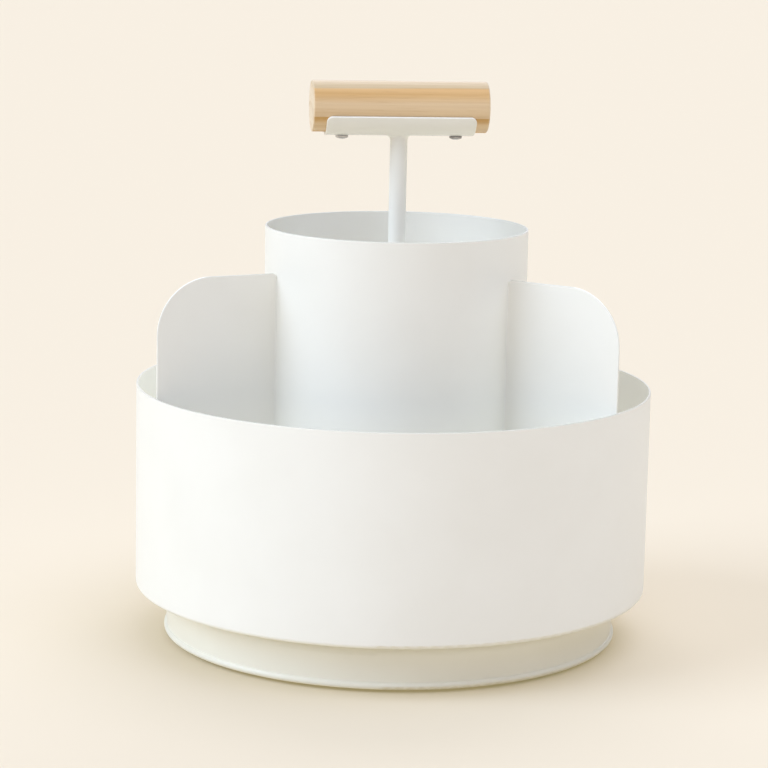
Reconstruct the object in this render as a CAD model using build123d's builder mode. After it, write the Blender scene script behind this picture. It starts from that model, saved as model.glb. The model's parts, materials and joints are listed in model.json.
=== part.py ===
from build123d import *
import math
import os

# Rotating organizer for craft supplies, in millimetres. The origin is on the table
# under the centre of the base, +Z is up, and the middle of the front compartment faces -Y.

# Sheet thicknesses
TRAY_SHEET = 1.0
CUP_SHEET = 1.0
DIVIDER_SHEET = 1.0
BASE_SHEET = 1.2
BEARING_SHEET = 1.5
SADDLE_SHEET = 1.5
EDGE_ROUND = 0.35  # the rounding of a coated sheet edge

# Tray, the round bin that turns
TRAY_DIAMETER = 254.0
TRAY_HEIGHT = 101.0
TRAY_CORNER = 2.0

# Cup in the middle of the tray
CUP_DIAMETER = 129.0
CUP_HEIGHT = 178.0
CUP_FLOOR_LIP = 6.0
CUP_FLOOR_CORNER = 2.0

# Dividers between the cup and the tray's wall
DIVIDER_COUNT = 3
BACK_DIVIDER_ANGLE = 90.0
DIVIDER_HEIGHT = 157.5
DIVIDER_CORNER = 27.5
DIVIDER_INNER_CORNER = 2.0

# Base, a pan turned upside down with a well for the bearing
BASE_DIAMETER = 223.2
BASE_HEIGHT = 20.0
BASE_CORNER = 4.0
HEM_HEIGHT = 3.6
HEM_STEP = 1.2
HEM_ABOVE_TABLE = 1.5
WELL_DEPTH = 5.5
WELL_CORNER = 1.5
WELL_LIP_CORNER = 2.5
WELL_OPENING_DIAMETER = 92.0

# Feet
FOOT_COUNT = 4
FOOT_ANGLE = 45.0
FOOT_DIAMETER = 14.0
FOOT_TAPER_ANGLE = 1.5
FOOT_RECESS_DIAMETER = 7.6
FOOT_RECESS_DEPTH = 8.0
FOOT_EDGE_ROUND = 0.8

# Turntable bearing
BEARING_HEIGHT = 9.0
FLANGE_WIDTH = 12.0  # the bearing's flat rim, with its fasteners in the middle
RACE_RISE = 1.5
RACE_SHOULDER = 6.5
BALL_DIAMETER = 5.0
BALL_COUNT = 24
CAGE_WIDTH = 11.0
CAGE_THICKNESS = 1.2
BORE_TO_RACE = 16.0
NECK_BEND = 2.0
FLARE_WIDTH = 3.1

# Fasteners
RIVET_COUNT = 4
RIVET_DIAMETER = 4.0
RIVET_DOME_DIAMETER = 8.0
RIVET_DOME_HEIGHT = 1.2
RIVET_DOME_ROUND = 0.96
RIVET_TAIL_DIAMETER = 6.4
RIVET_TAIL_HEIGHT = 1.6
RIVET_TAIL_ROUND = 0.96
TRAY_SCREW_COUNT = 3
TRAY_SCREW_ANGLE = 30.0
TRAY_SCREW_DIAMETER = 4.0
TRAY_SCREW_HEAD_DIAMETER = 9.0
TRAY_SCREW_HEAD_HEIGHT = 2.2
CLINCH_NUT_DIAMETER = 7.5
CLINCH_NUT_HEIGHT = 2.2
CLINCH_NUT_CHAMFER = 0.4
SCREW_END = 0.4  # how far a screw shows past its nut
FOOT_SCREW_DIAMETER = 3.5
FOOT_SCREW_HEAD_DIAMETER = 6.8
FOOT_SCREW_HEAD_HEIGHT = 2.2
FOOT_SCREW_END = 1.5
POST_SCREW_DIAMETER = 5.0
POST_SCREW_HEAD_DIAMETER = 9.5
POST_SCREW_HEAD_HEIGHT = 3.0
POST_SCREW_GRIP = 14.0
WASHER_DIAMETER = 24.0
WASHER_THICKNESS = 1.2
HANDLE_SCREW_DIAMETER = 3.2
HANDLE_SCREW_HEAD_DIAMETER = 6.2
HANDLE_SCREW_HEAD_HEIGHT = 1.9
HANDLE_SCREW_BITE = 14.0
HANDLE_SCREW_POINT = 3.0
HEAD_CROWN = 0.45  # the domed part of a screw's head, as a share of the head's height
RECESS_DEPTH = 0.6  # the cross recess, as a share of the head's height
RECESS_LENGTH = 0.56  # as a share of the head's diameter
RECESS_WIDTH = 0.15  # as a share of the head's diameter
POINT_SHARPNESS = 0.9  # how far a wood screw's point tapers, 1 being to nothing

# Carrying handle
HANDLE_RISE = 58.5  # from the cup's rim to the middle of the dowel
HANDLE_ANGLE = 10.8  # the handle's turn about the post, from the X axis
POST_DIAMETER = 8.5
POST_FOOT_DIAMETER = 26.0
POST_FOOT_THICKNESS = 2.5
POST_FOOT_ROUND = 1.0
POST_FLARE = 2.2
DOWEL_DIAMETER = 25.0
DOWEL_LENGTH = 86.0
DOWEL_END_ROUND = 0.8
SADDLE_LENGTH = 73.0
SADDLE_WRAP_ANGLE = 144.0
SADDLE_CORNER = 3.0
HANDLE_SCREW_SPACING = 56.0

# Clearances
WELD_GAP = 0.05  # between sheets that are welded to each other
HOLE_CLEARANCE = 0.1  # a hole's radius over its screw's or rivet's
BALL_CLEARANCE = 0.1  # between a ball and its race
POCKET_CLEARANCE = 0.15  # between a ball and its pocket in the cage
NECK_CLEARANCE = 0.6  # between the upper plate's neck and the lower plate's bore
FLARE_CLEARANCE = 0.3  # between the neck's flare and the underside of the lower plate
DOWEL_CLEARANCE = 0.05  # between the dowel and its saddle
WELL_CLEARANCE = 2.0  # between the bearing's edge and the well's wall
SCREW_TO_CUP = 3.0  # between the heads of the tray's screws and the cup
SAME_LENGTH = 0.01  # how nearly an edge has a length or a radius to be picked by it

# Heights above the table
base_top = HEM_ABOVE_TABLE + BASE_HEIGHT
base_underside = base_top - BASE_SHEET
well_floor = base_top - WELL_DEPTH
well_underside = well_floor - BASE_SHEET
tray_bottom = well_floor + BEARING_HEIGHT
tray_floor = tray_bottom + TRAY_SHEET
tray_rim = tray_bottom + TRAY_HEIGHT
cup_floor_top = tray_floor + CUP_SHEET
cup_rim = tray_floor + CUP_HEIGHT
divider_top = tray_floor + DIVIDER_HEIGHT
race_middle = well_floor + BEARING_HEIGHT / 2
dowel_axis = cup_rim + HANDLE_RISE

# Radii
tray_radius = TRAY_DIAMETER / 2
tray_inner_radius = tray_radius - TRAY_SHEET
cup_radius = CUP_DIAMETER / 2
cup_inner_radius = cup_radius - CUP_SHEET
base_radius = BASE_DIAMETER / 2
fastener_circle_radius = cup_radius + SCREW_TO_CUP + TRAY_SCREW_HEAD_DIAMETER / 2
bearing_radius = fastener_circle_radius + FLANGE_WIDTH / 2
flange_inner_radius = fastener_circle_radius - FLANGE_WIDTH / 2
race_step_radius = flange_inner_radius - RACE_RISE
race_radius = race_step_radius - RACE_SHOULDER
well_radius = bearing_radius + WELL_CLEARANCE
foot_circle_radius = (well_radius + base_radius) / 2
ball_radius = BALL_DIAMETER / 2
groove_radius = ball_radius + BALL_CLEARANCE
lower_plate_bore_radius = race_radius - BORE_TO_RACE
neck_radius = lower_plate_bore_radius - NECK_CLEARANCE
rivet_hole = RIVET_DIAMETER / 2 + HOLE_CLEARANCE
foot_screw_hole = FOOT_SCREW_DIAMETER / 2 + HOLE_CLEARANCE
tray_screw_hole = TRAY_SCREW_DIAMETER / 2 + HOLE_CLEARANCE
post_screw_hole = POST_SCREW_DIAMETER / 2 + HOLE_CLEARANCE
handle_screw_hole = HANDLE_SCREW_DIAMETER / 2 + HOLE_CLEARANCE
post_radius = POST_DIAMETER / 2
post_foot_radius = POST_FOOT_DIAMETER / 2
dowel_radius = DOWEL_DIAMETER / 2
saddle_inner_radius = dowel_radius + DOWEL_CLEARANCE
saddle_outer_radius = saddle_inner_radius + SADDLE_SHEET
saddle_bottom = dowel_axis - saddle_outer_radius

# Plane across the dowel: its x runs sideways, its y up and its normal along the dowel
STRAIGHT_DOWN = -90.0
turn = math.radians(HANDLE_ANGLE)
dowel_section = Plane(
    origin=(0, 0, dowel_axis),
    x_dir=(-math.sin(turn), math.cos(turn), 0),
    z_dir=(math.cos(turn), math.sin(turn), 0),
)
handle_screw_points = [
    (side * HANDLE_SCREW_SPACING / 2 * math.cos(turn), side * HANDLE_SCREW_SPACING / 2 * math.sin(turn))
    for side in (-1, 1)
]


def sheet_section(points, radii, thickness, side):
    """Section of a bent sheet in the XZ plane. One face follows the points, the other is offset from it."""
    with BuildSketch(Plane.XZ) as section:
        with BuildLine():
            FilletPolyline(*points, radius=radii)
            offset(amount=thickness, side=side, closed=True)
        make_face()
    return section.sketch


def drill(radius, height, depth, circle_radius, count, start_angle=0):
    """Cut round holes, evenly spaced on a circle about Z, from a height up through a depth."""
    with BuildSketch(Plane.XY.offset(height)) as holes:
        with PolarLocations(circle_radius, count, start_angle):
            Circle(radius)
    extrude(holes.sketch, amount=depth, mode=Mode.SUBTRACT)


def screw(diameter, head_diameter, head_height, length, point=0.0):
    """A cross-recess pan head screw that points up, with the underside of its head at z = 0."""
    head_radius = head_diameter / 2
    crown = head_height * HEAD_CROWN
    crown_radius = (head_radius**2 + crown**2) / (2 * crown)
    recess_length = head_diameter * RECESS_LENGTH
    recess_width = head_diameter * RECESS_WIDTH
    with BuildPart() as made:
        with BuildSketch(Plane.XZ):
            with BuildLine():
                Polyline((0, -head_height), (0, 0), (head_radius, 0), (head_radius, crown - head_height))
                RadiusArc((head_radius, crown - head_height), (0, -head_height), crown_radius)
            make_face()
        revolve(axis=Axis.Z)
        with BuildSketch(Plane.XY):
            Circle(diameter / 2)
        extrude(amount=length - point)
        if point:
            with BuildSketch(Plane.XY.offset(length - point)):
                Circle(diameter / 2)
            extrude(amount=point, taper=math.degrees(math.atan(diameter / 2 / point)) * POINT_SHARPNESS)
        with BuildSketch(Plane.XY.offset(-head_height)):
            Rectangle(recess_length, recess_width)
            Rectangle(recess_width, recess_length)
        extrude(amount=head_height * RECESS_DEPTH, mode=Mode.SUBTRACT)
    return made.part


def race_section(inner_radius):
    """Section of the lower bearing plate: a flat rim, a step up to the race, and the ball groove."""
    raised = well_floor + RACE_RISE
    top = raised + BEARING_SHEET
    groove_bottom = race_middle - groove_radius
    top_half = math.sqrt(groove_radius**2 - (race_middle - top) ** 2)
    under_half = math.sqrt((groove_radius + BEARING_SHEET) ** 2 - (race_middle - raised) ** 2)
    lean = BEARING_SHEET * (math.sqrt(2) - 1)
    with BuildSketch(Plane.XZ) as section:
        with BuildLine():
            Polyline((race_radius - under_half, raised), (inner_radius, raised), (inner_radius, top))
            Line((inner_radius, top), (race_radius - top_half, top))
            ThreePointArc(
                (race_radius - top_half, top), (race_radius, groove_bottom), (race_radius + top_half, top)
            )
            Polyline(
                (race_radius + top_half, top),
                (race_step_radius, top),
                (flange_inner_radius, well_floor + BEARING_SHEET),
                (bearing_radius, well_floor + BEARING_SHEET),
                (bearing_radius, well_floor),
                (flange_inner_radius - lean, well_floor),
                (race_step_radius - lean, raised),
                (race_radius + under_half, raised),
            )
            ThreePointArc(
                (race_radius + under_half, raised),
                (race_radius, groove_bottom - BEARING_SHEET),
                (race_radius - under_half, raised),
            )
        make_face()
    return section.sketch


os.makedirs("parts", exist_ok=True)

# Base pan with a hem rolled round its lower edge
hem_middle = HEM_ABOVE_TABLE + HEM_HEIGHT / 2
base_profile = [
    (WELL_OPENING_DIAMETER / 2, well_floor),
    (well_radius, well_floor),
    (well_radius, base_top),
    (base_radius, base_top),
    (base_radius, hem_middle),
]
with BuildPart() as base_pan:
    revolve(
        sheet_section(base_profile, [WELL_CORNER, WELL_LIP_CORNER, BASE_CORNER], BASE_SHEET, Side.RIGHT),
        axis=Axis.Z,
    )
    with BuildSketch(Plane.XZ):
        with Locations((base_radius + HEM_STEP - HEM_HEIGHT / 2, hem_middle)):
            Circle(HEM_HEIGHT / 2)
    revolve(axis=Axis.Z)
    drill(rivet_hole, well_underside, BASE_SHEET, fastener_circle_radius, RIVET_COUNT)
    drill(foot_screw_hole, base_underside, BASE_SHEET, foot_circle_radius, FOOT_COUNT, FOOT_ANGLE)
base_pan.part.label = "base_pan"
export_step(base_pan.part, "parts/base_pan.step")

# Rubber feet, each with a recess underneath for its screw
with BuildPart() as rubber_feet:
    with BuildSketch(Plane.XY.offset(base_underside)):
        with PolarLocations(foot_circle_radius, FOOT_COUNT, FOOT_ANGLE):
            Circle(FOOT_DIAMETER / 2)
    extrude(amount=-base_underside, taper=FOOT_TAPER_ANGLE)
    fillet(rubber_feet.faces().group_by(Axis.Z)[0].edges(), FOOT_EDGE_ROUND)
    drill(FOOT_RECESS_DIAMETER / 2, 0, FOOT_RECESS_DEPTH, foot_circle_radius, FOOT_COUNT, FOOT_ANGLE)
    drill(foot_screw_hole, 0, base_underside, foot_circle_radius, FOOT_COUNT, FOOT_ANGLE)
rubber_feet.part.label = "rubber_feet"
export_step(rubber_feet.part, "parts/rubber_feet.step")

# Screws that hold the feet, driven from below
foot_screw = screw(
    FOOT_SCREW_DIAMETER,
    FOOT_SCREW_HEAD_DIAMETER,
    FOOT_SCREW_HEAD_HEIGHT,
    base_top + FOOT_SCREW_END - FOOT_RECESS_DEPTH,
)
with BuildPart(Plane.XY.offset(FOOT_RECESS_DEPTH)) as foot_screws:
    with PolarLocations(foot_circle_radius, FOOT_COUNT, FOOT_ANGLE):
        add(foot_screw)
foot_screws.part.label = "foot_screws"
export_step(foot_screws.part, "parts/foot_screws.step")

# Lower plate of the bearing, riveted to the well's floor
with BuildPart() as bearing_lower_plate:
    revolve(race_section(lower_plate_bore_radius), axis=Axis.Z)
    drill(rivet_hole, well_floor, BEARING_SHEET, fastener_circle_radius, RIVET_COUNT)
bearing_lower_plate.part.label = "bearing_lower_plate"
export_step(bearing_lower_plate.part, "parts/bearing_lower_plate.step")

# Rivets through the lower plate and the well's floor
rivet_grip_top = well_floor + BEARING_SHEET
with BuildPart() as base_rivets:
    with BuildSketch(Plane.XY.offset(well_underside)):
        with PolarLocations(fastener_circle_radius, RIVET_COUNT):
            Circle(RIVET_DIAMETER / 2)
    extrude(amount=rivet_grip_top - well_underside)
    with BuildSketch(Plane.XY.offset(well_underside)):
        with PolarLocations(fastener_circle_radius, RIVET_COUNT):
            Circle(RIVET_DOME_DIAMETER / 2)
    extrude(amount=-RIVET_DOME_HEIGHT)
    fillet(base_rivets.faces().group_by(Axis.Z)[0].edges(), RIVET_DOME_ROUND)
    with BuildSketch(Plane.XY.offset(rivet_grip_top)):
        with PolarLocations(fastener_circle_radius, RIVET_COUNT):
            Circle(RIVET_TAIL_DIAMETER / 2)
    extrude(amount=RIVET_TAIL_HEIGHT)
    fillet(base_rivets.faces().group_by(Axis.Z)[-1].edges(), RIVET_TAIL_ROUND)
base_rivets.part.label = "base_rivets"
export_step(base_rivets.part, "parts/base_rivets.step")

# Balls of the bearing
with BuildPart(Plane.XY.offset(race_middle)) as bearing_balls:
    with PolarLocations(race_radius, BALL_COUNT):
        Sphere(ball_radius)
bearing_balls.part.label = "bearing_balls"
export_step(bearing_balls.part, "parts/bearing_balls.step")

# Cage that spaces the balls
with BuildPart() as ball_cage:
    with BuildSketch(Plane.XY.offset(race_middle - CAGE_THICKNESS / 2)):
        Circle(race_radius + CAGE_WIDTH / 2)
        Circle(race_radius - CAGE_WIDTH / 2, mode=Mode.SUBTRACT)
        with PolarLocations(race_radius, BALL_COUNT):
            Circle(ball_radius + POCKET_CLEARANCE, mode=Mode.SUBTRACT)
    extrude(amount=CAGE_THICKNESS)
ball_cage.part.label = "ball_cage"
export_step(ball_cage.part, "parts/ball_cage.step")

# Upper plate of the bearing. Its neck goes down through the lower plate and is flared out
# under it, which holds the two plates together when the organizer is lifted by its handle.
neck_bore_radius = neck_radius - BEARING_SHEET
flare_bottom = well_floor + RACE_RISE - FLARE_CLEARANCE - BEARING_SHEET
lowered_top = tray_bottom - RACE_RISE
neck_profile = [
    (neck_radius + FLARE_WIDTH, flare_bottom),
    (neck_bore_radius, flare_bottom),
    (neck_bore_radius, lowered_top),
    (race_radius - RACE_SHOULDER, lowered_top),
]
with BuildPart() as bearing_upper_plate:
    upper_race = race_section(neck_radius + NECK_BEND)
    revolve(mirror(upper_race, about=Plane.XY.offset(race_middle), mode=Mode.PRIVATE), axis=Axis.Z)
    revolve(sheet_section(neck_profile, NECK_BEND, BEARING_SHEET, Side.RIGHT), axis=Axis.Z)
    drill(
        tray_screw_hole,
        race_middle,
        BEARING_HEIGHT,
        fastener_circle_radius,
        TRAY_SCREW_COUNT,
        TRAY_SCREW_ANGLE,
    )
bearing_upper_plate.part.label = "bearing_upper_plate"
export_step(bearing_upper_plate.part, "parts/bearing_upper_plate.step")

# Clinch nuts pressed into the underside of the upper plate
clinch_nut_top = tray_bottom - BEARING_SHEET
with BuildPart() as clinch_nuts:
    with BuildSketch(Plane.XY.offset(clinch_nut_top)):
        with PolarLocations(fastener_circle_radius, TRAY_SCREW_COUNT, TRAY_SCREW_ANGLE):
            Circle(CLINCH_NUT_DIAMETER / 2)
            Circle(tray_screw_hole, mode=Mode.SUBTRACT)
    extrude(amount=-CLINCH_NUT_HEIGHT)
    chamfer(clinch_nuts.faces().group_by(Axis.Z)[0].edges(), CLINCH_NUT_CHAMFER)
clinch_nuts.part.label = "clinch_nuts"
export_step(clinch_nuts.part, "parts/clinch_nuts.step")

# Tray: a drawn pan with a floor, a rounded lower corner and a straight wall
with BuildPart() as tray:
    revolve(
        sheet_section(
            [(post_screw_hole, tray_bottom), (tray_radius, tray_bottom), (tray_radius, tray_rim)],
            TRAY_CORNER,
            TRAY_SHEET,
            Side.LEFT,
        ),
        axis=Axis.Z,
    )
    fillet(tray.faces().sort_by(Axis.Z)[-1].edges(), EDGE_ROUND)
    drill(
        tray_screw_hole,
        tray_bottom,
        TRAY_SHEET,
        fastener_circle_radius,
        TRAY_SCREW_COUNT,
        TRAY_SCREW_ANGLE,
    )
tray.part.label = "tray"
export_step(tray.part, "parts/tray.step")

# Screws from inside the tray into the clinch nuts, one in each compartment
tray_screw = screw(
    TRAY_SCREW_DIAMETER,
    TRAY_SCREW_HEAD_DIAMETER,
    TRAY_SCREW_HEAD_HEIGHT,
    TRAY_SHEET + BEARING_SHEET + CLINCH_NUT_HEIGHT + SCREW_END,
)
with BuildPart(Plane.XY.offset(tray_floor)) as tray_screws:
    with PolarLocations(fastener_circle_radius, TRAY_SCREW_COUNT, TRAY_SCREW_ANGLE):
        add(tray_screw, rotation=(180, 0, 0))
tray_screws.part.label = "tray_screws"
export_step(tray_screws.part, "parts/tray_screws.step")

# Cup wall, a rolled tube that stands on the tray's floor
with BuildPart() as cup_wall:
    with BuildSketch(Plane.XY.offset(tray_floor)):
        Circle(cup_radius)
        Circle(cup_inner_radius, mode=Mode.SUBTRACT)
    extrude(amount=CUP_HEIGHT)
    fillet(cup_wall.faces().sort_by(Axis.Z)[-1].edges(), EDGE_ROUND)
cup_wall.part.label = "cup_wall"
export_step(cup_wall.part, "parts/cup_wall.step")

# Cup floor, a pressed disc whose lip is welded inside the tube
cup_floor_radius = cup_inner_radius - WELD_GAP
with BuildPart() as cup_floor:
    revolve(
        sheet_section(
            [
                (post_screw_hole, tray_floor),
                (cup_floor_radius, tray_floor),
                (cup_floor_radius, tray_floor + CUP_FLOOR_LIP),
            ],
            CUP_FLOOR_CORNER,
            CUP_SHEET,
            Side.LEFT,
        ),
        axis=Axis.Z,
    )
cup_floor.part.label = "cup_floor"
export_step(cup_floor.part, "parts/cup_floor.step")

# Dividers: flat sheets from the cup to the tray's wall, with rounded corners
divider_start = cup_radius + WELD_GAP
divider_end = tray_inner_radius - WELD_GAP
divider_names = ["divider_back", "divider_left", "divider_right"]
divider_angles = [BACK_DIVIDER_ANGLE + index * 360 / DIVIDER_COUNT for index in range(DIVIDER_COUNT)]
for name, angle in zip(divider_names, divider_angles):
    heading = math.radians(angle)
    divider_plane = Plane(
        origin=(0, 0, 0),
        x_dir=(math.cos(heading), math.sin(heading), 0),
        z_dir=(math.sin(heading), -math.cos(heading), 0),
    )
    with BuildPart() as divider:
        with BuildSketch(divider_plane):
            with BuildLine():
                FilletPolyline(
                    (divider_start, tray_floor),
                    (divider_end, tray_floor),
                    (divider_end, divider_top),
                    (divider_start, divider_top),
                    radius=[0, TRAY_CORNER, DIVIDER_CORNER, DIVIDER_INNER_CORNER],
                    close=True,
                )
            make_face()
        extrude(amount=DIVIDER_SHEET / 2, both=True)
        outline = divider.edges().filter_by(lambda edge: edge.length > DIVIDER_SHEET + SAME_LENGTH)
        fillet(outline.filter_by(lambda edge: edge.center().Z > tray_floor + TRAY_CORNER), EDGE_ROUND)
    divider.part.label = name
    export_step(divider.part, f"parts/{name}.step")

# Handle saddle: a trough of sheet under the dowel
with BuildPart() as handle_saddle:
    with BuildSketch(dowel_section):
        with BuildLine():
            start = STRAIGHT_DOWN - SADDLE_WRAP_ANGLE / 2
            inner = CenterArc((0, 0), saddle_inner_radius, start, SADDLE_WRAP_ANGLE)
            outer = CenterArc((0, 0), saddle_outer_radius, start, SADDLE_WRAP_ANGLE)
            Line(inner @ 0, outer @ 0)
            Line(inner @ 1, outer @ 1)
        make_face()
    extrude(amount=SADDLE_LENGTH / 2, both=True)
    corners = handle_saddle.edges().filter_by(lambda edge: abs(edge.length - SADDLE_SHEET) < SAME_LENGTH)
    fillet(corners, SADDLE_CORNER)
    fillet(handle_saddle.faces().filter_by(GeomType.CYLINDER).sort_by(SortBy.AREA)[-2:].edges(), EDGE_ROUND)
    with BuildSketch(Plane.XY.offset(saddle_bottom)):
        with Locations(*handle_screw_points):
            Circle(handle_screw_hole)
    extrude(amount=SADDLE_SHEET * 2, mode=Mode.SUBTRACT)
handle_saddle.part.label = "handle_saddle"
export_step(handle_saddle.part, "parts/handle_saddle.step")

# Wooden dowel with eased ends and pilot holes for its screws
with BuildPart() as handle_dowel:
    with BuildSketch(dowel_section):
        Circle(dowel_radius)
    extrude(amount=DOWEL_LENGTH / 2, both=True)
    fillet(handle_dowel.edges().filter_by(GeomType.CIRCLE), DOWEL_END_ROUND)
    with BuildSketch(Plane.XY.offset(dowel_axis - dowel_radius)):
        with Locations(*handle_screw_points):
            Circle(handle_screw_hole)
    extrude(amount=HANDLE_SCREW_BITE + HOLE_CLEARANCE, mode=Mode.SUBTRACT)
handle_dowel.part.label = "handle_dowel"
export_step(handle_dowel.part, "parts/handle_dowel.step")

# Screws up through the saddle into the dowel
handle_screw = screw(
    HANDLE_SCREW_DIAMETER,
    HANDLE_SCREW_HEAD_DIAMETER,
    HANDLE_SCREW_HEAD_HEIGHT,
    SADDLE_SHEET + HANDLE_SCREW_BITE,
    HANDLE_SCREW_POINT,
)
with BuildPart(Plane.XY.offset(saddle_bottom)) as handle_screws:
    with Locations(*handle_screw_points):
        add(handle_screw)
handle_screws.part.label = "handle_screws"
export_step(handle_screws.part, "parts/handle_screws.step")

# Post: a rod with a round foot on the cup's floor, flared by its weld where it meets the saddle
with BuildPart() as handle_post:
    with BuildSketch(Plane.XY.offset(cup_floor_top)):
        Circle(post_foot_radius)
    extrude(amount=POST_FOOT_THICKNESS)
    fillet(handle_post.faces().sort_by(Axis.Z)[-1].edges(), POST_FOOT_ROUND)
    with BuildSketch(Plane.XY.offset(cup_floor_top)):
        Circle(post_radius)
    extrude(amount=dowel_axis - cup_floor_top)
    with BuildSketch(dowel_section):
        Circle(saddle_outer_radius)
    extrude(amount=SADDLE_LENGTH / 2, both=True)
    fillet(handle_post.edges().filter_by(GeomType.BSPLINE), POST_FLARE)
    with BuildSketch(dowel_section):
        Circle(saddle_outer_radius)
    extrude(amount=SADDLE_LENGTH / 2, both=True, mode=Mode.SUBTRACT)
    with BuildSketch(Plane.XY.offset(cup_floor_top)):
        Circle(post_screw_hole)
    extrude(amount=POST_SCREW_GRIP, mode=Mode.SUBTRACT)
handle_post.part.label = "handle_post"
export_step(handle_post.part, "parts/handle_post.step")

# Washer and screw under the tray that hold the post, the cup and the tray together
washer_underside = tray_bottom - WASHER_THICKNESS
with BuildPart() as post_washer:
    with BuildSketch(Plane.XY.offset(washer_underside)):
        Circle(WASHER_DIAMETER / 2)
        Circle(post_screw_hole, mode=Mode.SUBTRACT)
    extrude(amount=WASHER_THICKNESS)
post_washer.part.label = "post_washer"
export_step(post_washer.part, "parts/post_washer.step")

with BuildPart(Plane.XY.offset(washer_underside)) as post_screw:
    add(
        screw(
            POST_SCREW_DIAMETER,
            POST_SCREW_HEAD_DIAMETER,
            POST_SCREW_HEAD_HEIGHT,
            cup_floor_top - washer_underside + POST_SCREW_GRIP - SCREW_END,
        )
    )
post_screw.part.label = "post_screw"
export_step(post_screw.part, "parts/post_screw.step")
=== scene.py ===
import json
import math

import bmesh
import bpy
from mathutils import Matrix, Vector


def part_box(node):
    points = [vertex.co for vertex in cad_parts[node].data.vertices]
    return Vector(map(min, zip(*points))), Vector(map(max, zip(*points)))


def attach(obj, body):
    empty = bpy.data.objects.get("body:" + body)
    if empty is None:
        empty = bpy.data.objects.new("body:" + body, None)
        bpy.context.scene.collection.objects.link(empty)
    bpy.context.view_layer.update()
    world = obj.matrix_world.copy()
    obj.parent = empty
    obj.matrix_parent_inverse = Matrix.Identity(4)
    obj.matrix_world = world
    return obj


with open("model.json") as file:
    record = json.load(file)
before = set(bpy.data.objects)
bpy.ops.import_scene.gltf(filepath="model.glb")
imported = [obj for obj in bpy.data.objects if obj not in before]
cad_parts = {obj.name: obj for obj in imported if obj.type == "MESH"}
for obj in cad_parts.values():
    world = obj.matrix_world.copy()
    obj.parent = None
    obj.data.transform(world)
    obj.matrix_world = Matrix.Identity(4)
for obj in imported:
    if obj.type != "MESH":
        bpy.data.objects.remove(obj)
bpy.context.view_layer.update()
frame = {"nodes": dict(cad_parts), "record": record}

# Sizes are in metres, angles in degrees and colours are linear unless a line says otherwise.
# A pattern's scale is in cells a metre, and its range is the values in it that count as none and as full.

# Camera, solved from the outlines of the tray, the cup and the base in the photograph
CAMERA_TURN = 3.2  # round the organizer, whose front compartment doesn't quite face the camera
CAMERA_DISTANCE = 1.2988
CAMERA_HEIGHT = 0.3614
CAMERA_PAN = -0.21
CAMERA_PITCH = 10.31
CAMERA_ROLL = 1.165
CAMERA_LENS_MM = 124.8
CAMERA_SENSOR_MM = 36.0
CAMERA_NEAR = 0.01
CAMERA_FAR = 500.0

# Studio
FLOOR_SIDE = 80.0
FLOOR_COLOUR = (0.588, 0.517, 0.428, 1)
FLOOR_GLOW = (0.18, 0.158, 0.085, 1)  # the part of the floor's look that no shadow reaches
ROOM_COLOUR = (0.985, 1.0, 1.08, 1)
ROOM_LIGHT = 0.2
# Each lamp: its heading round the organizer, its height above the horizon, its spread, strength and colour
LAMPS = {
    "window_left": (200.0, 32.0, 40.0, 1.67, (0.872, 1.015, 1.236)),
    "low_front": (270.0, 20.0, 40.0, 0.14, (0.985, 1.0, 1.545)),
    "high_front": (300.0, 60.0, 50.0, 0.6, (0.916, 1.0, 1.185)),
    "high_right": (0.0, 60.0, 50.0, 0.6, (0.896, 1.0, 1.34)),
    "overhead": (0.0, 90.0, 80.0, 0.83, (0.985, 1.0, 1.06)),
    "backdrop": (90.0, 40.0, 60.0, 1.4, (0.985, 1.0, 1.1)),
}

# Powder coat
COAT_WHITE = (0.985, 0.967, 0.878, 1)
COAT_SHADED_CREAM = (0.975, 0.952, 0.825, 1)  # painted shade: the white coat made warmer and darker for the base, standing in for the warm shade under the tray's overhang
COAT_THIN = (0.975, 0.972, 0.965, 1)  # multiplies the coat's colour where the coat is thinnest
COAT_EDGE_SHADE_COLOUR = (0.62, 0.6, 0.55, 1)  # painted shade: multiplies it on the top edges of the sheets, darkening rims that the lamps light from above
COAT_EDGE_SHADE_DEPTH = 0.0003
COAT_CLOUD_SCALE = 22.0
COAT_CLOUD_DETAIL = 3.0
COAT_CLOUD_RANGE = (0.35, 0.7)
COAT_SHEEN_SCALE = 70.0
COAT_SHEEN_DETAIL = 2.0
COAT_SHEEN_RANGE = (0.3, 0.7)
COAT_ROUGHNESS = (0.33, 0.41)
COAT_PEEL_SCALE = 520.0
COAT_PEEL_DETAIL = 1.0
COAT_PEEL_DEPTH = 0.00005
COAT_PEEL_STRENGTH = 0.35

# Wood
WOOD_PALE = (0.84, 0.62, 0.365, 1)
WOOD_HONEY = (0.67, 0.39, 0.12, 1)
WOOD_TOP_SHADE_COLOUR = (0.57, 0.42, 0.225, 1)  # painted shade: a greyer, darker tone along the top of the dowel
WOOD_END_LIGHT_COLOUR = (0.93, 0.8, 0.6, 1)  # painted light: a paler tone blended into both ends of the dowel, standing in for a brightly lit end face
WOOD_END_LIGHT_SHARE = 0.6
WOOD_FIBRE = (0.8, 0.72, 0.6, 1)  # multiplies the colour in the darkest fibres and pores
WOOD_PITH = (0.0, 0.004, -0.02)  # from the dowel's middle, with X along the dowel
WOOD_RING_WIDTH = 0.0097
WOOD_RING_SHIFT = 4.5  # in radians of a ring
WOOD_RING_STRETCH = 0.08
WOOD_RING_WANDER = 0.55
WOOD_RING_DETAIL = 2.0
WOOD_RING_DETAIL_SCALE = 2.5
WOOD_LATE_RANGE = (0.58, 0.86)  # where in a ring the late wood darkens, from 0 inside to 1 outside
WOOD_LATE_END = (0.97, 1.0)  # where in a ring it stops
WOOD_TOP_SHADE_RADIUS = 0.0316  # how far from the pith the painted top shade begins; only the top of the dowel lies further out
WOOD_TOP_SHADE_BLUR = 0.0002
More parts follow.
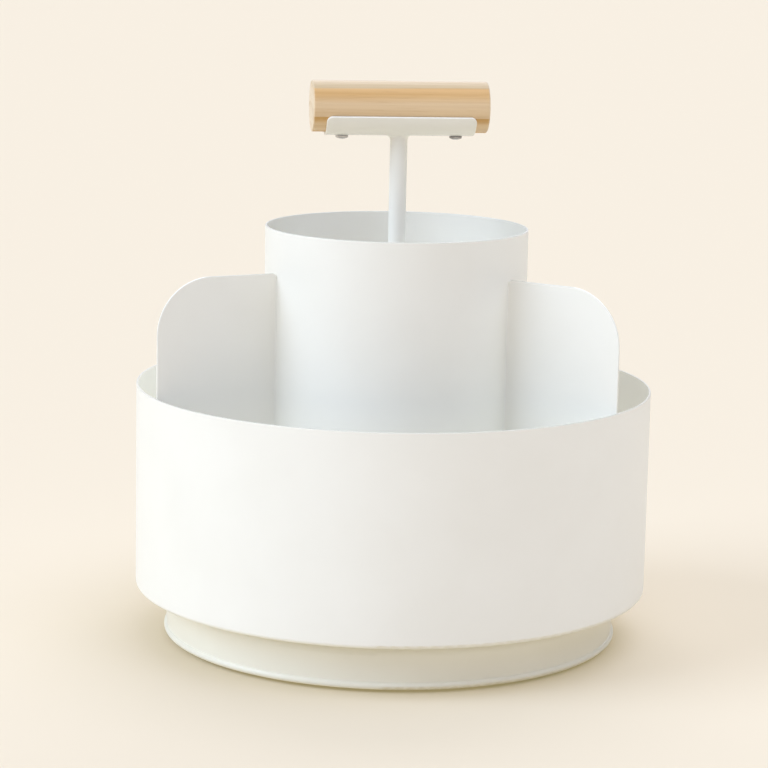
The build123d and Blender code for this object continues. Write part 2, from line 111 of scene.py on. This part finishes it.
WOOD_FIBRE_SCALE = (9.0, 620.0, 620.0)
WOOD_FIBRE_DETAIL = 3.0
WOOD_FIBRE_RANGE = (0.42, 0.72)
WOOD_FIBRE_SHARE = 0.45
WOOD_PORE_SCALE = (70.0, 1700.0, 1700.0)
WOOD_PORE_DETAIL = 1.0
WOOD_PORE_RANGE = (0.62, 0.72)
WOOD_PORE_SHARE = 0.4
WOOD_SHEEN_RANGE = (0.3, 0.7)
WOOD_ROUGHNESS = (0.4, 0.52)
WOOD_BUMP_DEPTH = 0.00006
WOOD_BUMP_STRENGTH = 0.5
LACQUER = 0.3
LACQUER_ROUGHNESS = 0.25

# The dowel, as in the solids
HANDLE_ANGLE = 10.8
DOWEL_LENGTH = 0.086
DOWEL_END_ROUND = 0.0008

# Metal
SMUDGE_SCALE = 160.0
SMUDGE_DETAIL = 3.0
SMUDGE_RANGE = (0.4, 0.65)
SCRATCH_STRETCH = (0.15, 1.0, 1.0)
SCRATCH_DETAIL = 3.0
SCRATCH_DEPTH = 0.00001
SCRATCH_STRENGTH = 0.5
# Each plated metal: its clean colour, smudged colour, clean roughness, smudged roughness and scratch scale
SCREW_STEEL = ((0.6, 0.585, 0.57, 1), (0.3, 0.29, 0.285, 1), 0.05, 0.2, 1500.0)
BALL_STEEL = ((0.8, 0.8, 0.8, 1), (0.66, 0.65, 0.62, 1), 0.06, 0.16, 2200.0)
ZINC_DARK = (0.58, 0.6, 0.63, 1)
ZINC_BRIGHT = (0.68, 0.7, 0.71, 1)
ZINC_SMUDGED = (0.56, 0.55, 0.5, 1)
ZINC_ROUGHNESS = (0.3, 0.46)
ZINC_SCRATCH_SCALE = 900.0
ZINC_FLAKE_SCALE = 380.0
ZINC_RING_SCALE = 2600.0
ZINC_RING_DETAIL = 2.0
ZINC_RING_DEPTH = 0.00002
ZINC_RING_STRENGTH = 0.5

# Rubber and plastic
BLOOM_SCALE = 240.0
BLOOM_DETAIL = 4.0
BLOOM_RANGE = (0.42, 0.68)
GRAIN_DETAIL = 2.0
GRAIN_DEPTH = 0.00004
GRAIN_STRENGTH = 0.6
# Each moulded material: its clean colour, dusty colour, clean and dusty roughness, and grain scale
RUBBER = ((0.022, 0.022, 0.023, 1), (0.05, 0.049, 0.046, 1), (0.6, 0.8), 1500.0)
CAGE_PLASTIC = ((0.8, 0.79, 0.72, 1), (0.7, 0.68, 0.6, 1), (0.4, 0.55), 900.0)

# Welds
WELD_RADIUS = 0.0007
WELD_BITE = 0.00005  # how far a weld reaches into the sheets that it joins
WELD_STEPS = 8  # in a quarter turn
CUP_WELD_STEPS = 144  # round the cup
WELD_FADE = 0.002
WELD_TIP = 0.1  # the size of a faded end, as a share of the weld's
WELD_SHARP_ANGLE = 30.0

# Sheets, as in the solids
SHEET = 0.001
TRAY_CORNER = 0.002
DIVIDER_INNER_CORNER = 0.002
DIVIDER_ANGLES = {"back": 90.0, "left": 210.0, "right": 330.0}

# Turns and directions
QUARTER_TURN = math.radians(90)
FULL_TURN = math.tau
X_AXIS = Vector((1, 0, 0))
Y_AXIS = Vector((0, 1, 0))
Z_AXIS = Vector((0, 0, 1))
FLAT = (1, 1, 0)  # scales a place down onto the XY plane

# Shader nodes
NONE_TO_FULL = (0, 1)
FULL_TO_NONE = (1, 0)
WAVE_PHASE = 20  # a wave texture's phase, in radians for each unit of its scale and of distance
COLOUR = "NodeSocketColor"
NUMBER = "NodeSocketFloat"
DIRECTION = "NodeSocketVector"

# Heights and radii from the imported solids
tray_low, tray_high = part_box("tray")
_, cup_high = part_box("cup_wall")
_, divider_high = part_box("divider_back")
_, saddle_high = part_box("handle_saddle")
_, base_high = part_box("base_pan")
dowel_low, dowel_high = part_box("handle_dowel")
tray_floor = tray_low[2] + SHEET
tray_inner_radius = tray_high[0] - SHEET
tray_rim = tray_high[2]
cup_radius = cup_high[0]
cup_rim = cup_high[2]
divider_top = divider_high[2]
saddle_top = saddle_high[2]
base_top = base_high[2]
dowel_axis_height = (dowel_low[2] + dowel_high[2]) / 2


def link(made):
    """Put a new object into the scene."""
    bpy.context.scene.collection.objects.link(made)
    return made


def set_inputs(tree, node, inputs):
    """Set a node's inputs. They are given by name or number, each as a value or as a socket to link from."""
    for name, value in inputs.items():
        if isinstance(value, bpy.types.NodeSocket):
            tree.links.new(value, node.inputs[name])
        else:
            node.inputs[name].default_value = value


def add_node(tree, kind, inputs, **settings):
    made = tree.nodes.new(kind)
    for name, value in settings.items():
        setattr(made, name, value)
    set_inputs(tree, made, inputs)
    return made


def object_place(tree):
    return add_node(tree, "ShaderNodeTexCoord", {}).outputs["Object"]


def stretched(tree, place, scale):
    """Coordinates scaled along each axis, so that a pattern is long where the scale is small."""
    return add_node(tree, "ShaderNodeMapping", {"Vector": place, "Scale": scale}).outputs["Vector"]


def noise(tree, place, scale, detail):
    made = add_node(tree, "ShaderNodeTexNoise", {"Vector": place, "Scale": scale, "Detail": detail})
    return made.outputs["Fac"]


def remap(tree, value, before, after):
    """Move a value from one range to another, each given as its two ends."""
    ends = {"From Min": before[0], "From Max": before[1], "To Min": after[0], "To Max": after[1]}
    return add_node(tree, "ShaderNodeMapRange", {"Value": value, **ends}).outputs["Result"]


def calculate(tree, operation, first, second=0.0):
    return add_node(tree, "ShaderNodeMath", {0: first, 1: second}, operation=operation).outputs["Value"]


def distance_from_zero(tree, place):
    return add_node(tree, "ShaderNodeVectorMath", {0: place}, operation="LENGTH").outputs["Value"]


def blend_colours(tree, factor, first, second, blend_type="MIX"):
    made = add_node(
        tree, "ShaderNodeMix", {0: factor, 6: first, 7: second}, data_type="RGBA", blend_type=blend_type
    )
    return made.outputs[2]


def bumps(tree, height, distance, strength):
    made = add_node(tree, "ShaderNodeBump", {"Height": height, "Distance": distance, "Strength": strength})
    return made.outputs["Normal"]


def new_group(name, inputs, outputs):
    """A node group with the named sockets. Returns its tree, the sockets it is given and its output node."""
    tree = bpy.data.node_groups.new(name, "ShaderNodeTree")
    for direction, sockets in (("INPUT", inputs), ("OUTPUT", outputs)):
        for socket, kind in sockets.items():
            tree.interface.new_socket(socket, in_out=direction, socket_type=kind)
    return tree, tree.nodes.new("NodeGroupInput").outputs, tree.nodes.new("NodeGroupOutput")


def use_group(tree, group, inputs):
    return add_node(tree, "ShaderNodeGroup", inputs, node_tree=group).outputs


def new_material(name):
    """A material whose tree holds only a Principled BSDF and its output."""
    material = bpy.data.materials.new(name)
    material.use_nodes = True
    return material, material.node_tree, material.node_tree.nodes["Principled BSDF"]


def make_coat_surface():
    """Powder coat: faint clouds of colour and sheen over the skin of a sprayed and baked coat."""
    tree, given, result = new_group(
        "coat_surface", {"Colour": COLOUR}, {"Colour": COLOUR, "Roughness": NUMBER, "Normal": DIRECTION}
    )
    place = object_place(tree)
    clouds = noise(tree, place, COAT_CLOUD_SCALE, COAT_CLOUD_DETAIL)
    thinness = remap(tree, clouds, COAT_CLOUD_RANGE, NONE_TO_FULL)
    sheen = noise(tree, place, COAT_SHEEN_SCALE, COAT_SHEEN_DETAIL)
    peel = noise(tree, place, COAT_PEEL_SCALE, COAT_PEEL_DETAIL)
    set_inputs(
        tree,
        result,
        {
            "Colour": blend_colours(tree, thinness, given["Colour"], COAT_THIN, "MULTIPLY"),
            "Roughness": remap(tree, sheen, COAT_SHEEN_RANGE, COAT_ROUGHNESS),
            "Normal": bumps(tree, peel, COAT_PEEL_DEPTH, COAT_PEEL_STRENGTH),
        },
    )
    return tree


def make_metal_surface():
    """Handled metal: smudges and fine scratches."""
    tree, given, result = new_group(
        "metal_surface",
        {"Polished": NUMBER, "Smudged": NUMBER, "Scratch Scale": NUMBER},
        {"Smudges": NUMBER, "Roughness": NUMBER, "Normal": DIRECTION},
    )
    place = object_place(tree)
    smudges = remap(tree, noise(tree, place, SMUDGE_SCALE, SMUDGE_DETAIL), SMUDGE_RANGE, NONE_TO_FULL)
    roughening = calculate(tree, "SUBTRACT", given["Smudged"], given["Polished"])
    roughening = calculate(tree, "MULTIPLY", roughening, smudges)
    along_scratches = stretched(tree, place, SCRATCH_STRETCH)
    scratches = noise(tree, along_scratches, given["Scratch Scale"], SCRATCH_DETAIL)
    set_inputs(
        tree,
        result,
        {
            "Smudges": smudges,
            "Roughness": calculate(tree, "ADD", given["Polished"], roughening),
            "Normal": bumps(tree, scratches, SCRATCH_DEPTH, SCRATCH_STRENGTH),
        },
    )
    return tree


def make_moulded_surface():
    """Moulded surface: a fine matt grain with a dusty bloom."""
    tree, given, result = new_group(
        "moulded_surface", {"Grain Scale": NUMBER}, {"Bloom": NUMBER, "Normal": DIRECTION}
    )
    place = object_place(tree)
    bloom = remap(tree, noise(tree, place, BLOOM_SCALE, BLOOM_DETAIL), BLOOM_RANGE, NONE_TO_FULL)
    grain = noise(tree, place, given["Grain Scale"], GRAIN_DETAIL)
    set_inputs(tree, result, {"Bloom": bloom, "Normal": bumps(tree, grain, GRAIN_DEPTH, GRAIN_STRENGTH)})
    return tree


coat_surface = make_coat_surface()
metal_surface = make_metal_surface()
moulded_surface = make_moulded_surface()


def powder_coat(name, colour, edge_height):
    """Powder coat with painted shade along the top edge of its sheet."""
    material, tree, skin = new_material(name)
    # Painted shade: the colour darkens towards the top edge of the sheet, within the edge shade depth.
    height = add_node(tree, "ShaderNodeSeparateXYZ", {"Vector": object_place(tree)}).outputs["Z"]
    edge_shade_mask = remap(tree, height, (edge_height - COAT_EDGE_SHADE_DEPTH, edge_height), NONE_TO_FULL)
    edge_shaded_colour = blend_colours(tree, edge_shade_mask, colour, COAT_EDGE_SHADE_COLOUR, "MULTIPLY")
    coat = use_group(tree, coat_surface, {"Colour": edge_shaded_colour})
    set_inputs(
        tree, skin, {"Base Color": coat["Colour"], "Roughness": coat["Roughness"], "Normal": coat["Normal"]}
    )
    return material


def plated_metal(name, clean, dull, polished, smudged, scratch_scale):
    """Bright metal that is a little darker and rougher where it was handled."""
    material, tree, skin = new_material(name)
    metal = use_group(
        tree, metal_surface, {"Polished": polished, "Smudged": smudged, "Scratch Scale": scratch_scale}
    )
    set_inputs(
        tree,
        skin,
        {
            "Base Color": blend_colours(tree, metal["Smudges"], clean, dull),
            "Roughness": metal["Roughness"],
            "Normal": metal["Normal"],
            "Metallic": 1.0,
        },
    )
    return material


def moulded(name, clean, dusty, roughness, grain_scale):
    """Moulded rubber or plastic."""
    material, tree, skin = new_material(name)
    surface = use_group(tree, moulded_surface, {"Grain Scale": grain_scale})
    set_inputs(
        tree,
        skin,
        {
            "Base Color": blend_colours(tree, surface["Bloom"], clean, dusty),
            "Roughness": remap(tree, surface["Bloom"], NONE_TO_FULL, roughness),
            "Normal": surface["Normal"],
        },
    )
    return material


def ringed_colour(tree, along_dowel):
    """The colour of wood cut along the grain of a ringed tree, from a place with X along the dowel, with
    painted shade along the dowel's top.
    """
    from_pith = add_node(
        tree,
        "ShaderNodeMapping",
        {
            "Vector": along_dowel,
            "Location": [-value for value in WOOD_PITH],
            "Scale": (WOOD_RING_STRETCH, 1, 1),
        },
    ).outputs["Vector"]
    rings = add_node(
        tree,
        "ShaderNodeTexWave",
        {
            "Vector": from_pith,
            "Scale": FULL_TURN / (WAVE_PHASE * WOOD_RING_WIDTH),
            "Distortion": WOOD_RING_WANDER,
            "Detail": WOOD_RING_DETAIL,
            "Detail Scale": WOOD_RING_DETAIL_SCALE,
            "Phase Offset": WOOD_RING_SHIFT,
        },
        wave_type="RINGS",
        rings_direction="X",
        wave_profile="SAW",
    ).outputs["Fac"]
    late_wood = remap(tree, rings, WOOD_LATE_RANGE, NONE_TO_FULL)
    ring_end = remap(tree, rings, WOOD_LATE_END, FULL_TO_NONE)
    honey = calculate(tree, "MULTIPLY", late_wood, ring_end)
    # Painted shade: past a radius from the pith, which only the top of the dowel reaches, the early wood
    # turns greyer and darker.
    top_shade_range = (WOOD_TOP_SHADE_RADIUS - WOOD_TOP_SHADE_BLUR, WOOD_TOP_SHADE_RADIUS + WOOD_TOP_SHADE_BLUR)
    top_shade_mask = remap(tree, distance_from_zero(tree, from_pith), top_shade_range, NONE_TO_FULL)
    early_wood_with_top_shade = blend_colours(tree, top_shade_mask, WOOD_PALE, WOOD_TOP_SHADE_COLOUR)
    return blend_colours(tree, honey, early_wood_with_top_shade, WOOD_HONEY)


def lacquered_wood(name):
    """The dowel's wood, with fibres, pores, painted light on its ends and a satin lacquer."""
    material, tree, skin = new_material(name)
    along_dowel = add_node(
        tree,
        "ShaderNodeMapping",
        {
            "Vector": object_place(tree),
            "Location": (0, 0, -dowel_axis_height),
            "Rotation": (0, 0, math.radians(-HANDLE_ANGLE)),
        },
    ).outputs["Vector"]
    along = add_node(tree, "ShaderNodeSeparateXYZ", {"Vector": along_dowel}).outputs["X"]
    from_middle = calculate(tree, "ABSOLUTE", along)
    half_length = DOWEL_LENGTH / 2
    # Painted light: both ends of the dowel are blended towards a paler tone.
    end_light_mask = remap(tree, from_middle, (half_length - DOWEL_END_ROUND, half_length), (0, WOOD_END_LIGHT_SHARE))
    fibres = noise(tree, stretched(tree, along_dowel, WOOD_FIBRE_SCALE), 1.0, WOOD_FIBRE_DETAIL)
    pores = noise(tree, stretched(tree, along_dowel, WOOD_PORE_SCALE), 1.0, WOOD_PORE_DETAIL)
    fibre_mask = remap(tree, fibres, WOOD_FIBRE_RANGE, (0, WOOD_FIBRE_SHARE))
    pore_mask = remap(tree, pores, WOOD_PORE_RANGE, (0, WOOD_PORE_SHARE))
    colour = blend_colours(tree, end_light_mask, ringed_colour(tree, along_dowel), WOOD_END_LIGHT_COLOUR)
    colour = blend_colours(tree, fibre_mask, colour, WOOD_FIBRE, "MULTIPLY")
    colour = blend_colours(tree, pore_mask, colour, WOOD_FIBRE, "MULTIPLY")
    height = calculate(tree, "SUBTRACT", fibres, pore_mask)
    set_inputs(
        tree,
        skin,
        {
            "Base Color": colour,
            "Roughness": remap(tree, fibres, WOOD_SHEEN_RANGE, WOOD_ROUGHNESS),
            "Normal": bumps(tree, height, WOOD_BUMP_DEPTH, WOOD_BUMP_STRENGTH),
            "Coat Weight": LACQUER,
            "Coat Roughness": LACQUER_ROUGHNESS,
        },
    )
    return material


def pressed_zinc(name):
    """Zinc-plated sheet with the fine rings of its press tool and a mottled passivation."""
    material, tree, skin = new_material(name)
    place = object_place(tree)
    polished, smudged = ZINC_ROUGHNESS
    metal = use_group(
        tree, metal_surface, {"Polished": polished, "Smudged": smudged, "Scratch Scale": ZINC_SCRATCH_SCALE}
    )
    flakes = add_node(tree, "ShaderNodeTexVoronoi", {"Vector": place, "Scale": ZINC_FLAKE_SCALE})
    flake_value = add_node(tree, "ShaderNodeSeparateColor", {"Color": flakes.outputs["Color"]}).outputs["Red"]
    zinc = blend_colours(tree, flake_value, ZINC_DARK, ZINC_BRIGHT)
    from_axis = distance_from_zero(tree, stretched(tree, place, FLAT))
    press_rings = add_node(
        tree,
        "ShaderNodeTexNoise",
        {"W": from_axis, "Scale": ZINC_RING_SCALE, "Detail": ZINC_RING_DETAIL},
        noise_dimensions="1D",
    ).outputs["Fac"]
    set_inputs(
        tree,
        skin,
        {
            "Base Color": blend_colours(tree, metal["Smudges"], zinc, ZINC_SMUDGED),
            "Roughness": metal["Roughness"],
            "Normal": bumps(tree, press_rings, ZINC_RING_DEPTH, ZINC_RING_STRENGTH),
            "Metallic": 1.0,
        },
    )
    return material


finishes = {
    "tray_coat": powder_coat("tray_coat", COAT_WHITE, tray_rim),
    "cup_coat": powder_coat("cup_coat", COAT_WHITE, cup_rim),
    "divider_coat": powder_coat("divider_coat", COAT_WHITE, divider_top),
    # The base's coat is a shaded copy of the white coat: painted shade for the warm shade under the tray.
    "base_coat": powder_coat("base_coat", COAT_SHADED_CREAM, base_top),
    "handle_coat": powder_coat("handle_coat", COAT_WHITE, saddle_top),
    "wood": lacquered_wood("wood"),
    "screw_steel": plated_metal("screw_steel", *SCREW_STEEL),
    "bearing_steel": pressed_zinc("bearing_steel"),
    "ball_steel": plated_metal("ball_steel", *BALL_STEEL),
    "rubber": moulded("rubber", *RUBBER),
    "cage_plastic": moulded("cage_plastic", *CAGE_PLASTIC),
}
for subpart in frame["record"]["subparts"]:
    node = frame["nodes"][subpart["node"]]
    node.data.materials.clear()
    node.data.materials.append(finishes[subpart["material_slot"]])


def weld_section(bm, corner, first, second):
    """Outline of a concave weld in the corner that two sheets make, each leaving it in one direction."""
    start = corner + first * WELD_RADIUS
    tip = bmesh.ops.create_vert(bm, co=start)["vert"][0]
    bmesh.ops.spin(
        bm,
        geom=[tip],
        cent=start + second * WELD_RADIUS,
        axis=second.cross(first),
        angle=QUARTER_TURN,
        steps=WELD_STEPS,
    )
    ends = [vertex for vertex in bm.verts if len(vertex.link_edges) == 1]
    root = bmesh.ops.create_vert(bm, co=corner - (first + second) * WELD_BITE)["vert"][0]
    for end in ends:
        bm.edges.new((root, end))


def fill_section(bm, edges):
    """Fill the outline of a weld and return its face."""
    return bmesh.ops.edgeloop_fill(bm, edges=edges)["faces"][0]


def only_face(geometry):
    return next(item for item in geometry if isinstance(item, bmesh.types.BMFace))


def draw_out(bm, end, move):
    """Extrude the end face of a weld and return the new end face."""
    grown = bmesh.ops.extrude_face_region(bm, geom=[end, *end.edges, *end.verts])["geom"]
    bmesh.ops.translate(bm, vec=move, verts=[item for item in grown if isinstance(item, bmesh.types.BMVert)])
    return only_face(grown)


def fade_out(bm, end, corner, move):
    """End a weld by drawing it out to a small tip in its corner."""
    end = draw_out(bm, end, move)
    bmesh.ops.scale(
        bm, vec=(WELD_TIP, WELD_TIP, WELD_TIP), space=Matrix.Translation(-(corner + move)), verts=end.verts
    )


def finish_weld(bm, name, slot):
    """Make a weld's mesh an object of the tray, with sharp edges where it meets the sheets."""
    bmesh.ops.recalc_face_normals(bm, faces=bm.faces)
    for face in bm.faces:
        face.smooth = True
    for edge in bm.edges:
        edge.smooth = edge.calc_face_angle() < math.radians(WELD_SHARP_ANGLE)
    mesh = bpy.data.meshes.new(name)
    bm.to_mesh(mesh)
    bm.free()
    mesh.materials.append(finishes[slot])
    weld = link(bpy.data.objects.new(name, mesh))
    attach(weld, "tray")


def make_divider_weld(name, angle):
    """Welds on both faces of a divider: up the cup, then along the tray's floor and up its wall."""
    bm = bmesh.new()
    corner = Vector((cup_radius, SHEET / 2, tray_floor))
    weld_section(bm, corner, X_AXIS, Y_AXIS)
    end = fill_section(bm, bm.edges)
    rise = Z_AXIS * (divider_top - DIVIDER_INNER_CORNER - WELD_FADE - tray_floor)
    end = draw_out(bm, end, rise)
    fade_out(bm, end, corner + rise, Z_AXIS * WELD_FADE)
    along_cup = set(bm.edges)

    weld_section(bm, corner, Y_AXIS, Z_AXIS)
    end = fill_section(bm, [edge for edge in bm.edges if edge not in along_cup])
    reach = X_AXIS * (tray_inner_radius - TRAY_CORNER - cup_radius)
    end = draw_out(bm, end, reach)
    bend = bmesh.ops.spin(
        bm,
        geom=[end, *end.edges, *end.verts],
        cent=corner + reach + Z_AXIS * TRAY_CORNER,
        axis=-Y_AXIS,
        angle=QUARTER_TURN,
        steps=WELD_STEPS,
    )
    end = only_face(bend["geom_last"])
    corner = Vector((tray_inner_radius, SHEET / 2, tray_floor + TRAY_CORNER))
    rise = Z_AXIS * (tray_rim - WELD_FADE - SHEET - tray_floor - TRAY_CORNER)
    end = draw_out(bm, end, rise)
    fade_out(bm, end, corner + rise, Z_AXIS * WELD_FADE)
    bmesh.ops.mirror(bm, geom=[*bm.verts, *bm.edges, *bm.faces], axis="Y", merge_dist=0)
    bmesh.ops.rotate(bm, matrix=Matrix.Rotation(math.radians(angle), 3, "Z"), verts=bm.verts)
    finish_weld(bm, name, "divider_coat")


def make_cup_weld(name):
    """Weld round the foot of the cup."""
    bm = bmesh.new()
    weld_section(bm, Vector((cup_radius, 0, tray_floor)), X_AXIS, Z_AXIS)
    bmesh.ops.spin(
        bm,
        geom=[*bm.verts, *bm.edges],
        axis=Z_AXIS,
        cent=(0, 0, 0),
        angle=FULL_TURN,
        steps=CUP_WELD_STEPS,
        use_merge=True,
    )
    finish_weld(bm, name, "cup_coat")


for side, angle in DIVIDER_ANGLES.items():
    make_divider_weld(f"divider_weld_{side}", angle)
make_cup_weld("cup_weld")

# Floor
floor_material, tree, skin = new_material("studio_floor")
set_inputs(
    tree,
    skin,
    {
        "Base Color": FLOOR_COLOUR,
        "Roughness": 1.0,
        "Specular IOR Level": 0.0,
        "Emission Color": FLOOR_GLOW,
        "Emission Strength": 1.0,
    },
)
bm = bmesh.new()
bmesh.ops.create_grid(bm, x_segments=1, y_segments=1, size=FLOOR_SIDE / 2)
floor_mesh = bpy.data.meshes.new("studio_floor")
bm.to_mesh(floor_mesh)
bm.free()
floor_mesh.materials.append(floor_material)
floor = link(bpy.data.objects.new("studio_floor", floor_mesh))

# Room light
world = bpy.data.worlds.new("studio_room")
world.use_nodes = True
bpy.context.scene.world = world
background = world.node_tree.nodes["Background"]
background.inputs["Color"].default_value = ROOM_COLOUR
background.inputs["Strength"].default_value = ROOM_LIGHT

# Lamps, which shine along their own -Z axis
for name, (heading, height, spread, strength, colour) in LAMPS.items():
    lamp = bpy.data.lights.new(name, "SUN")
    lamp.energy = strength
    lamp.angle = math.radians(spread)
    lamp.color = colour
    turn = Matrix.Rotation(math.radians(heading + 90), 4, "Z")
    tilt = Matrix.Rotation(math.radians(90 - height), 4, "X")
    link(bpy.data.objects.new(name, lamp)).matrix_world = turn @ tilt

# Camera
camera_data = bpy.data.cameras.new("camera")
camera_data.lens = CAMERA_LENS_MM
camera_data.sensor_width = CAMERA_SENSOR_MM
camera_data.clip_start = CAMERA_NEAR
camera_data.clip_end = CAMERA_FAR
camera = link(bpy.data.objects.new("camera", camera_data))
camera.matrix_world = (
    Matrix.Rotation(math.radians(CAMERA_TURN), 4, "Z")
    @ Matrix.Translation((0, -CAMERA_DISTANCE, CAMERA_HEIGHT))
    @ Matrix.Rotation(math.radians(-CAMERA_PAN), 4, "Z")
    @ Matrix.Rotation(math.radians(90 - CAMERA_PITCH), 4, "X")
    @ Matrix.Rotation(math.radians(CAMERA_ROLL), 4, "Z")
)
bpy.context.scene.camera = camera
bpy.context.scene.view_settings.view_transform = "Standard"
